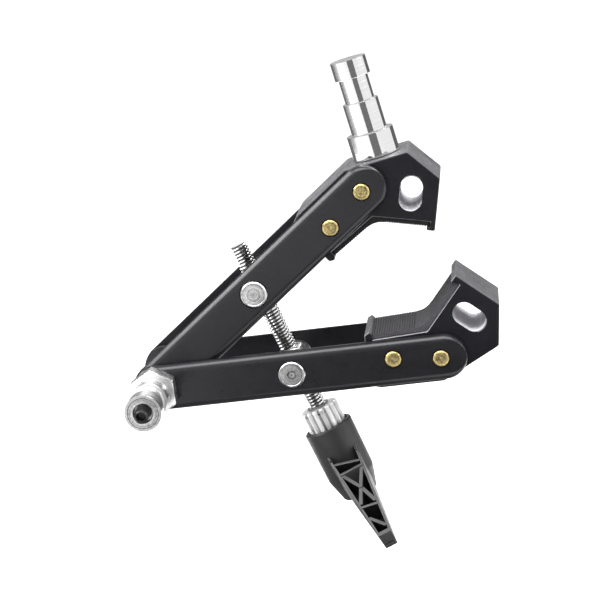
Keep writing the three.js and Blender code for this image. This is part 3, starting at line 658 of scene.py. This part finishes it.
# %% Helper that winds a thread
def thread(radius, pitch, depth, z0, z1, steps=24):
    root = radius - depth
    profile = [(radius, 0), (radius, 0.38), (root, 0.54), (root, 0.84), (radius, 1)]
    bm = bmesh.new()
    verts = [bm.verts.new((r, 0, z0 + (share - 1) * pitch)) for r, share in profile]
    edges = [bm.edges.new(pair) for pair in zip(verts, verts[1:])]
    count = round(((z1 - z0) / pitch + 1) * steps) + 1
    bmesh.ops.spin(bm, geom=verts + edges, cent=(0, 0, 0), axis=(0, 0, 1),
                   dvec=(0, 0, pitch / steps), angle=2 * pi * count / steps, steps=count)
    bmesh.ops.remove_doubles(bm, verts=bm.verts, dist=MERGE)
    rims = [e for e in bm.edges if e.is_boundary]
    for point in (z0 - 3 * pitch, z1 + 4 * pitch):
        rim = [e for e in rims if abs(e.verts[0].co.z - point) < (z1 - z0) / 2]
        out = bmesh.ops.extrude_edge_only(bm, edges=rim)
        bmesh.ops.pointmerge(bm, verts=verts_of(out), merge_co=(0, 0, point))
    bmesh.ops.recalc_face_normals(bm, faces=bm.faces)
    return bm


print("thread helper ready")

# %% [markdown]
# The spindle is that thread at eight millimetres, with a chamfered tip and a plain tail that is
# pressed into the hub. The faces nearer the axis than the crest are the flanks and the root. They
# get a much darker metal, a painted shade for the hollows of the thread.

# %% Spindle
HUB_TOP, HUB_FOOT, SPINDLE_TIP = -23.0, -50.5, 59.0
SPINDLE_RADIUS, THREAD_PITCH, THREAD_DEPTH = 4.0, 1.5, 0.8
spindle_zinc = turned("spindle_zinc", 0.92, 0.16, SPINDLE, groove=0.000002, ring=700)
# painted shade: the thread's flanks and root are darkened for the shade in its hollows
thread_painted_shade = turned("thread_painted_shade", 0.08, 0.4, SPINDLE, groove=0.000002, ring=700)
envelope = turn([(0, HUB_TOP), (4.2, HUB_TOP), (4.2, SPINDLE_TIP - 1), (3.2, SPINDLE_TIP),
                 (0, SPINDLE_TIP)], 48)
wound = thread(SPINDLE_RADIUS, THREAD_PITCH, THREAD_DEPTH, HUB_TOP, SPINDLE_TIP)
wound = combine(wound, [envelope], "INTERSECT")
wound = combine(wound, [rod(3.1, HUB_TOP - 13, HUB_TOP + 1.2, 32)], "UNION")
stand_in(wound, "spindle", spindle_zinc, "spindle", SPINDLE, 24,
         [(thread_painted_shade, lambda spot, normal: spot.xy.length < SPINDLE_RADIUS - 0.25
           and abs(normal.z) < 0.9)])

# %% [markdown]
# The hub is a bar with sixteen rounded splines, which the lever's cup grips. A cosine round the
# circle, cut off and eased at both ends, gives each spline a flat top and each groove a round
# bottom. The same ring at five heights, each a little narrower near the top, makes the splines
# run out into a chamfer.

# %% Splined hub
SPLINES, GROOVE_RADIUS = 16, 7.8
hub_zinc = turned("hub_zinc", 1.0, 0.42, SPINDLE, groove=0.0000003, ring=500)
# painted shade: the grooves between the splines get a darker metal
hub_groove_shade = turned("hub_groove_shade", 0.55, 0.3, SPINDLE, groove=0.0000003, ring=500)


def spline_radius(angle):
    wave = cos(SPLINES * (angle - pi / SPLINES))
    rise = max(0.0, min(1.0, (1.45 + 1.6 * wave) / 2))
    return GROOVE_RADIUS + rise * rise * (3 - 2 * rise) + 0.12 * (wave - 1)


def spline_ring(z, limit=9.0, clearance=0.0, steps=192):
    spots = []
    for i in range(steps):
        angle = 2 * pi * i / steps
        radius = min(spline_radius(angle), limit) + clearance
        spots.append((radius * cos(angle), radius * sin(angle), z))
    return spots


def hub():
    bm = loft([spline_ring(HUB_FOOT), spline_ring(HUB_TOP - 1.0), spline_ring(HUB_TOP - 0.5, 8.7),
               spline_ring(HUB_TOP - 0.2, 8.35), spline_ring(HUB_TOP, 7.9)])
    bore = turn([(0, HUB_TOP - 13.2), (3.6, HUB_TOP - 13.2), (3.6, HUB_TOP - 0.7),
                 (4.6, HUB_TOP + 0.3), (0, HUB_TOP + 0.3)], 48)
    return combine(bm, [bore, rod(2.8, HUB_FOOT - 2, HUB_FOOT + 10, 32)])


def in_a_groove(spot, normal):
    return abs(normal.z) < 0.5 and 7 < spot.xy.length < GROOVE_RADIUS


stand_in(hub(), "splined_hub", hub_zinc, "spindle", SPINDLE, 30,
         [(hub_groove_shade, in_a_groove)])

# %% [markdown]
# On top of the hub lies a thin washer of plain nylon, which carries the spindle's thrust. Its
# outer edges are rounded by use, and a few more points in the profile are enough for that. Nylon
# is the first moulded plastic here: a nearly even colour, with a fine spark-eroded texture.

# %% Helper for moulded plastic
def moulded(name, dark, pale, gloss, grain=2000, depth=0.00003, shine=0.5, metal=0.0):
    made = Finish(name, Roughness=gloss, IOR=1.48, Specular_IOR_Level=shine, Metallic=metal)
    share = made.spread(made.noise(120, 4), 0, 1)
    made.to("Base Color", made.blend(share, grey(dark), grey(pale)))
    made.to("Roughness", made.spread(made.noise(400, 3), gloss - 0.06, gloss + 0.06))
    made.to("Normal", made.bump(made.noise(grain, 3, 0.6), depth))
    return made.material


nylon = moulded("nylon", 0.16, 0.22, 0.45, grain=1500)
print("nylon made")

# %% Thrust washer
washer = [(4.3, 0.25), (4.9, 0.25), (5.1, 0.4), (5.1, 0.7), (4.9, 0.85), (4.5, 0.85),
          (4.3, 0.75), (4.3, 0.25)]
stand_in(turn([(r, HUB_TOP + h) for r, h in washer], 64), "thrust_washer", nylon,
         "thrust_washer", SPINDLE)

# %% [markdown]
# A trunnion is a turned cross shaft, with a barrel round the spindle in its middle. Each end is
# faced, chamfered and centre-drilled, and the lower one's dimple is wider than the upper one's.
# The barrel leans with the spindle, and its bore is cut last so that it goes through barrel and
# shaft together.

# %% Trunnions
WIDE_DIMPLE = [(0.7, 22.74), (1.1, 22.7), (1.5, 22.85)]
SMALL_DIMPLE = [(0.4, 22.75), (0.7, 22.85)]


def trunnion(offset, dimple, half=22.85):
    end = ([(0, half - 0.1)] + dimple
           + [(4.5, half), (4.75, half - 0.15), (4.95, half), (5.25, half), (5.75, half - 0.5)])
    shaft = turn(end + [(r, -h) for r, h in end[::-1]], 96)
    barrel = soften(rod(6.4, -7.0, 7.0, 96), 1.2, 5, 60)
    lean = Matrix.Rotation(-LEAN, 4, "Y")
    body = combine(placed(shaft, shifted(y=offset) @ ACROSS), [placed(barrel, lean)], "UNION")
    return combine(body, [placed(rod(4.3, -14, 14, 48), lean)])


for arm, place, offset, dimple in (
        ("lower", shifted(TRUNNION, MIDDLE), -SHIFT, WIDE_DIMPLE),
        ("upper", Matrix.Translation(UPPER_TRUNNION.translation), SHIFT, SMALL_DIMPLE)):
    steel = turned(f"{arm}_trunnion_steel", 0.8, 0.3, place @ ACROSS, groove=0.00005, ring=1300,
                   streak=0.75, marks=0.35)
    stand_in(trunnion(offset, dimple), f"{arm}_trunnion", steel, f"{arm}_trunnion",
             place)

# %% [markdown]
# The handle is a moulding: a cup that drops over the hub, and a lever that is hollow underneath
# and stiffened with a zigzag of thin ribs. The lever is a tapered block with one long pocket, and
# the ribs are put back into it. Block, pocket and ribs all have flat sides and only bulge
# outwards, so each is simply the convex hull of its corners. `under` says how high the lever's
# open side lies at each reach from the spindle, and `half_width` how wide the lever is there.

# %% Lever block and pocket
RIM = HUB_TOP - 9.6  # the cup's rim


def under(reach):
    return RIM - 7.4 - 0.487 * reach


def half_width(reach):
    return 7.3 - 4.2 * (reach - 7) / 58


def hull(points):
    bm = bmesh.new()
    for spot in points:
        bm.verts.new(spot)
    bmesh.ops.convex_hull(bm, input=bm.verts)
    bmesh.ops.dissolve_limit(bm, angle_limit=radians(1), verts=bm.verts, edges=bm.edges)
    bmesh.ops.recalc_face_normals(bm, faces=bm.faces)
    return bm


def lever_block():
    corners = []
    for reach, low in ((7, 7), (65, 61.4)):
        for side in (-1, 1):
            corners.append((reach, side * half_width(reach), under(reach)))
            corners.append((low, side * (half_width(reach) - 0.4) + 0.5,
                            RIM - 26.5 - 0.325 * low))
    return soften(hull(corners), 0.4, 3, 30)


def pocket():
    corners = []
    for reach, low in ((8, 8), (62.9, 62.6)):
        for side in (-1, 1):
            wall = half_width(reach) - 0.95
            corners.append((reach, side * wall, under(reach) + 2))
            corners.append((low, side * (wall - 0.3), under(reach) - 6.3))
    return hull(corners)


print("lever runs out to 65 mm, where it is", round(2 * half_width(65), 1), "mm wide")

# %% [markdown]
# Each rib is a thin wall that goes deeper than the pocket's floor, so that it grows out of it. Its
# ends stay a little inside the side walls, because two faces in the very same plane can make a
# Boolean lose a piece. For the same reason the ribs are joined on one at a time further down,
# and the volume is printed after each.

# %% Ribs of the lever
JOINT = (33.6, 0.3)  # where four ribs meet, under a small post
CROSSBAR = 2.8
RIBS = [((14.4, -5.75), (18.4, 5.75), CROSSBAR), ((21.3, 5.6), (21.7, -5.6), CROSSBAR),
        ((22.0, -4.9), JOINT), ((22.4, 4.9), JOINT), (JOINT, (44.6, 3.3)),
        (JOINT, (43.4, -3.4)), ((44.9, -3.85), (46.6, 3.75), CROSSBAR),
        ((52.4, -2.9), (60.4, 2.35))]
ALONG = Matrix.Rotation(radians(11.1) - pi / 2, 4, "Z")  # turns the lever to face the camera


def rib(start, end, thick=1.9, drop=0.12):
    one, two = Vector(start), Vector(end)
    across = (two - one).orthogonal().normalized() * thick / 2
    corners = []
    for spot in (one, two):
        for side in (-1, 1):
            foot, top = spot + side * 1.1 * across, spot + side * across
            corners.append((foot.x, 0.955 * foot.y + 0.27, under(spot.x) - 6.8))
            corners.append((top.x, top.y, under(spot.x) - drop))
    return soften(hull(corners), 0.16, 1, 40)


def nub(side, reach=12.0):
    z = under(reach)
    pin = turn([(0, z - 2), (0.62, z - 2), (0.62, z + 0.75), (0.4, z + 1.0), (0, z + 1.0)], 20)
    return placed(pin, shifted(reach, side * 6.35))


def post():
    pin = turn([(0, -7), (1.15, -7), (1.0, -0.1), (0.8, 0.1), (0, 0.1)], 24)
    return placed(pin, shifted(*JOINT, under(JOINT[0])))


def on_a_rib(spot, normal):
    at = ALONG.inverted() @ spot
    return 9 < at.x < 64 and abs(under(at.x) - at.z) < 0.45 and normal.z > 0.7


def in_the_pocket(spot, normal):
    at = ALONG.inverted() @ spot
    return (8 < at.x < 62.0 and under(at.x) - at.z > 0.9
            and abs(at.y) < half_width(at.x) - 0.9)


print("lever has", len(RIBS), "ribs")

# %% [markdown]
# The cup is turned, then joined to the lever. Its bores come last and go through both: a round
# mouth, the splines that fit the hub with some clearance, a hole for the screw's shank and a
# chamber for its head and the spring. The plastic is black. The tops of the ribs are painted
# paler, a painted highlight, and the pocket between them is painted nearly black, a painted shade.

# %% Lever handle
lever_plastic = moulded("lever_plastic", 0.02, 0.03, 0.4)
# painted highlight on the rib tops, and painted shade in the pocket below
rib_top_highlight = moulded("rib_top_highlight", 0.06, 0.09, 0.4)
pocket_painted_shade = moulded("pocket_painted_shade", 0.001, 0.003, 0.7, shine=0.08)


def cup():
    wall = [(0, 0), (10.1, 0), (10.75, 0.15), (11.1, 0.5), (11.2, 1.1), (10.9, 24.3),
            (10.6, 25.4), (8.1, 34.3), (7.6, 34.9), (0, 34.9)]
    return turn([(r, RIM - depth) for r, depth in wall], 128)


def cup_bores():
    zone, floor_top = HUB_FOOT + 6.2, HUB_FOOT - 0.3
    fit = loft([spline_ring(z, clearance=0.35) for z in (floor_top, zone + 1)])
    mouth = turn([(0, zone), (9.4, zone), (9.4, RIM - 0.6), (10.0, RIM + 0.2), (10.0, RIM + 2),
                  (0, RIM + 2)], 96)
    chamber = turn([(0, RIM - 40), (6.2, RIM - 40), (6.2, RIM - 34.7), (5.9, RIM - 34.2),
                    (5.9, floor_top - 2.2), (0, floor_top - 2.2)], 64)
    return [mouth, fit, rod(2.8, floor_top - 4, floor_top + 2, 32), chamber]


def handle():
    lever = combine(lever_block(), [pocket()])
    for ends in RIBS:
        lever = combine(lever, [rib(*ends)], "UNION")
        print("lever with a rib more, mm3:", round(lever.calc_volume()))
    lever = combine(lever, [nub(-1), nub(1)], "UNION")
    lever = combine(lever, [post()], "UNION")
    return combine(combine(cup(), [placed(lever, ALONG)], "UNION"), cup_bores())


stand_in(handle(), "lever_handle", lever_plastic, "lever", SPINDLE, 28,
         [(rib_top_highlight, on_a_rib), (pocket_painted_shade, in_the_pocket)])

# %% [markdown]
# A screw in the foot of the cup holds the lever on the hub, and a small spring under its head
# pulls the lever back onto its splines. The head has a hexagon socket, cut with a six-sided cone
# that has no taper.

# %% Lever screw
screw_foot, screw_top = RIM - 34.1, HUB_FOOT + 9.75
screw = turn([(0, screw_foot), (4.5, screw_foot), (4.8, screw_foot + 0.3),
              (4.8, screw_foot + 3), (2.5, screw_foot + 3), (2.5, screw_top), (0, screw_top)], 48)
screw = combine(screw, [hexagon(4, screw_foot - 1, screw_foot + 1.5)])
stand_in(screw, "lever_screw", hub_zinc, "spindle", SPINDLE)

# %% [markdown]
# The hinge runs on a bolt from behind: a hexagon head with turned corners, a washer under it, a
# sleeve between the bars, and a shank that goes through both arms into the hinge stud. The washer
# and the sleeve are the same ring in two sizes.

# %% Hinge bolt, washer and sleeve
bolt_steel = turned("bolt_steel", 0.5, 0.32, BOLT)


def hinge_bolt(flats=13):
    corner = flats / 3 ** 0.5 + 0.1
    blank = turn([(0, 26.5), (6.2, 26.5), (corner, 26.9), (corner, 30.6), (6.3, 31.5),
                  (0, 31.5)], 96)
    head = soften(combine(hexagon(flats, 26.5, 31.5), [blank], "INTERSECT"), 0.12, 2, 25)
    return combine(head, [rod(4, -38.65, 29)], "UNION")


def collar(outer, inner, z0, z1, edge=0.25):
    return turn([(inner, z0), (outer - edge, z0), (outer, z0 + edge), (outer, z1 - edge),
                 (outer - edge, z1), (inner, z1), (inner, z0)], 96)


stand_in(hinge_bolt(), "hinge_bolt", bolt_steel, "lower_arm", BOLT)
stand_in(collar(8, 4.25, 24.65, 26.25), "hinge_washer", bolt_steel, "lower_arm",
         BOLT)
stand_in(collar(6.5, 4.25, -15.8, 15.8), "hinge_sleeve", bolt_steel, "lower_arm",
         BOLT)

# %% [markdown]
# The black screw in the end of the hinge stud is a set screw: threaded all the way, with a
# chamfered tip and a hexagon socket. The socket's cutter is a hexagon joined to a cone, for the
# drilled point at its bottom. Black oxide has no colour of its own to speak of, so the plastic's
# recipe with most of the metal turned on is close enough.

# %% Hinge stud screw
black_oxide = moulded("black_oxide", 0.02, 0.04, 0.34, grain=1800, depth=0.00002, metal=0.8)


def set_screw():
    envelope = turn([(0, 24), (3.3, 24), (3.3, 43.7), (2.3, 45), (0, 45)], 48)
    body = combine(thread(3.17, 1.0, 0.45, 24, 45), [envelope], "INTERSECT")
    point = turn([(0, 41.6), (2.1, 44.4), (2.1, 46), (0, 46)], 32)
    return combine(body, [combine(hexagon(3.2, 42, 47), [point], "UNION")])


stand_in(set_screw(), "hinge_stud_screw", black_oxide, "lower_arm", STUD, 24)

# %% [markdown]
# Two pieces that hardly show keep their plain solids, with a finish of their own: the spring
# inside the cup, and the bolt inside the top stud.

# %% Finishes for the hidden pieces
for node, paint in (("lever_spring", bolt_steel), ("top_stud_screw", black_oxide)):
    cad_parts[node].data.materials.clear()
    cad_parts[node].data.materials.append(paint)
    print(node, "is", paint.name)

# %% [markdown]
# The camera stands where the photographer's did: a metre away, a little above the clamp and to
# the right of it, with a long lens so that the arms stay nearly parallel. In the photograph the
# clamp hangs with its lower arm tilted up, so `PHOTO` is the upright frame of the picture, seen
# from the clamp.

# %% Camera
TILT = radians(7.53)
PHOTO = shifted(y=MIDDLE) @ Matrix.Rotation(TILT, 4, "Y") @ shifted(64.97, 0, 33.51)
SENSOR, PICTURE, FOCAL = 36, 612, 2240  # millimetres, pixels, pixels


def view_from(azimuth, elevation, distance):
    az, el = radians(azimuth), radians(elevation)
    ahead = Vector((-sin(az) * cos(el), cos(az) * cos(el), -sin(el)))
    right = Vector((cos(az), sin(az), 0))
    place = Matrix((right, right.cross(ahead), -ahead)).transposed().to_4x4()
    place.translation = -distance * ahead
    place = PHOTO @ place
    place.translation *= 0.001
    return place


lens = bpy.data.cameras.new("camera")
lens.lens = SENSOR * FOCAL / PICTURE
camera = bpy.data.objects.new("camera", lens)
camera.matrix_world = view_from(3.961, 12.729, 1000)
bpy.context.scene.collection.objects.link(camera)
bpy.context.scene.camera = camera
bpy.context.scene.view_settings.view_transform = "Standard"
print("camera at", [round(v, 3) for v in camera.location])

# %% [markdown]
# The background is plain white. The world and the floor both show white to the camera and to
# mirror-like surfaces, and are a little dimmer as light sources. The floor keeps the soft shadow,
# because only part of its white is its own glow and the rest is light falling on it.

# %% White background and floor
def seen_directly(tree, unseen, seen):
    path = tree.nodes.new("ShaderNodeLightPath")
    most = path.outputs["Is Camera Ray"]
    for ray in ("Is Glossy Ray", "Is Transmission Ray"):
        pick = tree.nodes.new("ShaderNodeMath")
        pick.operation = "MAXIMUM"
        tree.links.new(most, pick.inputs[0])
        tree.links.new(path.outputs[ray], pick.inputs[1])
        most = pick.outputs[0]
    span = tree.nodes.new("ShaderNodeMapRange")
    tree.links.new(most, span.inputs["Value"])
    span.inputs["To Min"].default_value = unseen
    span.inputs["To Max"].default_value = seen
    return span.outputs["Result"]


world = bpy.data.worlds.new("studio")
bpy.context.scene.world = world
world.use_nodes = True
sky = world.node_tree.nodes["Background"]
sky.inputs["Color"].default_value = (1, 1, 1, 1)
world.node_tree.links.new(seen_directly(world.node_tree, 0.45, 1.0), sky.inputs["Strength"])

floor_paint = Finish("floor_paint", Roughness=0.9, Specular_IOR_Level=0.1)
floor_paint.to("Base Color", floor_paint.blend(floor_paint.noise(6), grey(0.6), grey(0.63)))
floor_paint.shader.inputs["Emission Color"].default_value = (1, 1, 1, 1)
floor_paint.to("Emission Strength", seen_directly(floor_paint.tree, 0.0, 0.76))

sheet = bmesh.new()
bmesh.ops.create_grid(sheet, x_segments=1, y_segments=1, size=15)
floor = as_object(placed(sheet, shifted(0.07, 0.03, CAD_BOX[0][2] - 0.05)), "floor")
floor.data.materials.append(floor_paint.material)
print("background white")

# %% [markdown]
# Polished metal looks like what it mirrors. A wide grey card behind the camera gives each stud
# its grey stripe down the middle, and dark cards just outside the picture give it dark edges, one
# of them fading to white. Cards below and behind darken what the hinge stud, the bars' lower
# edges and the back bars mirror. They show only in reflections, and give no shadow. Painting the
# stripes on the studs would be quicker, but they would stay put when the camera moves.

# %% Cards
def card(name, azimuth, elevation, distance, width, height, left, right):
    sheet = bmesh.new()
    bmesh.ops.create_grid(sheet, x_segments=1, y_segments=1, size=0.5)
    obj = as_object(placed(sheet, Matrix.Diagonal((width, height, 1, 1))), name)
    obj.matrix_world = view_from(azimuth, elevation, distance)
    paint = Finish(name, Roughness=1.0, Specular_IOR_Level=0.0, Emission_Strength=1.0)
    paint.shader.inputs["Base Color"].default_value = (0, 0, 0, 1)
    across = paint.add("SeparateXYZ", {"Vector": paint.coords}).outputs["X"]
    fade = paint.spread(across, 0, 1, -width / 2, width / 2)
    paint.to("Emission Color", paint.blend(fade, grey(left), grey(right)))
    obj.data.materials.append(paint.material)
    obj.visible_camera = obj.visible_diffuse = obj.visible_shadow = False


card("grey_card", 16, 18, 500, 0.33, 0.56, 0.19, 0.19)
card("under_card", 30, -86, 128, 0.26, 0.2, 0.35, 0.35)
card("low_card", 19, -27, 255, 0.34, 0.13, 0.1, 0.1)
card("back_card", 170.6, 12, 1000, 0.57, 0.36, 0.12, 0.12)
card("dark_card_right", 143, 8, 1000, 0.9, 1.6, 0.13, 0.16)
card("dark_card_left", -138, -4, 600, 0.52, 0.7, 0.16, 0.2)
card("fading_card_left", -94, -4, 620, 0.42, 0.7, 0.25, 0.95)
print("cards placed")

# %% [markdown]
# Four soft boxes light the clamp, as in a product photograph. The broad ones on the left and
# above draw the soft highlights along the bars, the weak one on the right opens the shadows,
# and the one behind lifts the clamp off the background.

# %% Lamps
def soft_box(name, azimuth, elevation, width, height, watts):
    light = bpy.data.lights.new(name, "AREA")
    light.shape, light.size, light.size_y = "RECTANGLE", width, height
    light.energy = watts
    obj = bpy.data.objects.new(name, light)
    obj.matrix_world = view_from(azimuth, elevation, 900)
    bpy.context.scene.collection.objects.link(obj)


soft_box("soft_box_left", -84, 33, 0.9, 0.35, 9.5)
soft_box("soft_box_right", 78, 30, 0.5, 0.3, 2.4)
soft_box("soft_box_above", -14, 62, 1.0, 0.5, 12.0)
soft_box("soft_box_behind", 140, 52, 0.7, 0.35, 7.0)
print("lamps placed")
